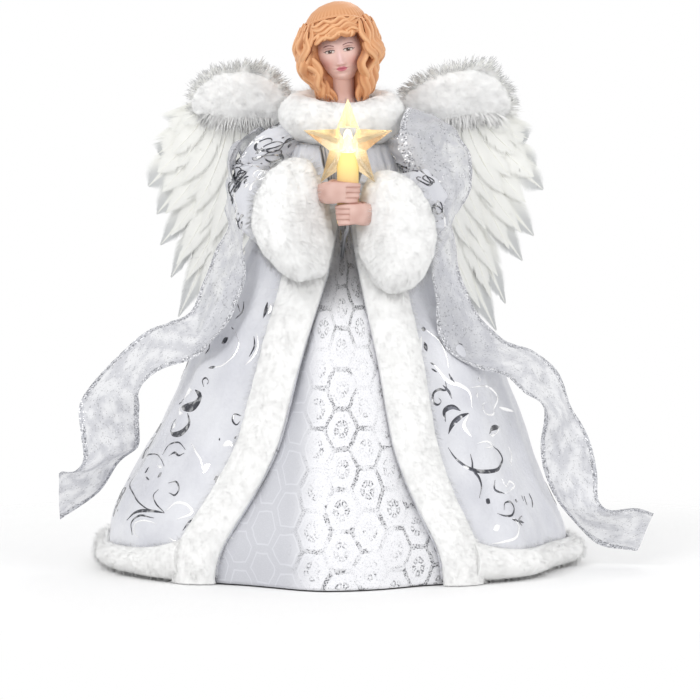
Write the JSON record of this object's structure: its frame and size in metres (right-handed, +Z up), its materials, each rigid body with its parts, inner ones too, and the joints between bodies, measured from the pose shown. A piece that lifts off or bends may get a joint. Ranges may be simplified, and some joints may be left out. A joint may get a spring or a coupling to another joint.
{
  "type": "angel tree topper",
  "caption": "Robed angel doll on a hollow cone that slips over a tree's tip, with folding feather wings, a ribbon stole and a lit star on a candle.",
  "frame": {"origin": "centre of the cone's mouth, on the plane that the topper stands on, which is the bottom centre of its box", "axes": "+Z up to the doll's head, -Y the way the doll faces, +X to the doll's left"},
  "size_m": [0.3188, 0.2559, 0.2891],
  "materials": {
    "card": "matte",
    "foam": "matte",
    "brocade": "satin",
    "skin": "matte",
    "hair": "matte",
    "fur": "matte",
    "satin": "satin",
    "candle": "satin",
    "lamp": "gloss",
    "acrylic": "polished",
    "lead": "satin",
    "organza": "satin",
    "wire": "satin",
    "felt": "matte",
    "feather": "matte",
    "down": "matte",
    "plastic": "satin",
    "knob": "satin",
    "cell": "gloss",
    "contact": "gloss",
    "pad": "matte"
  },
  "bodies": {
    "doll": {"tree_cone": "card", "torso_core": "foam", "bodice": "brocade", "bust_casting": "skin", "hair_casting": "hair", "fur_collar": "fur", "underskirt": "brocade", "robe": "satin", "left_front_trim": "fur", "right_front_trim": "fur", "hem_trim": "fur", "left_sleeve": "satin", "right_sleeve": "satin", "left_cuff": "fur", "right_cuff": "fur", "left_arm_wire": "wire", "right_arm_wire": "wire", "left_hand": "skin", "right_hand": "skin", "candle_tube": "candle", "lamp": "lamp", "star": "acrylic", "lamp_lead": "lead", "ribbon_stole": "organza", "wing_bracket": "plastic", "battery_case": "plastic", "battery_cell_left": "cell", "battery_cell_right": "cell", "contact_spring_left": "contact", "contact_spring_right": "contact", "contact_link_plate": "contact", "contact_plate_left": "contact", "contact_plate_right": "contact", "mounting_pad": "pad"},
    "left_wing": {"left_wing_wire": "wire", "left_wing_backing": "felt", "left_wing_primary_feathers": "feather", "left_wing_secondary_feathers": "feather", "left_wing_down_trim": "down"},
    "right_wing": {"right_wing_wire": "wire", "right_wing_backing": "felt", "right_wing_primary_feathers": "feather", "right_wing_secondary_feathers": "feather", "right_wing_down_trim": "down"},
    "lid": {"battery_lid": "plastic"},
    "switch": {"switch_knob": "knob"}
  },
  "joints": [
    {"name": "left_wing_fold", "type": "hinge", "parent": "doll", "child": "left_wing", "pos_m": [0.009, 0.03058, 0.2065], "axis": [0, 0, 1], "range_deg": [0, 35]},
    {"name": "right_wing_fold", "type": "hinge", "parent": "doll", "child": "right_wing", "pos_m": [-0.009, 0.03058, 0.2065], "axis": [0, 0, -1], "range_deg": [0, 35]},
    {"name": "battery_lid_slide", "type": "slide", "parent": "doll", "child": "lid", "axis": [0, 0.3825, -0.924], "range_m": [0, 0.042]},
    {"name": "switch_slide", "type": "slide", "parent": "doll", "child": "switch", "axis": [1, 0, 0], "range_m": [0, 0.003]}
  ]
}
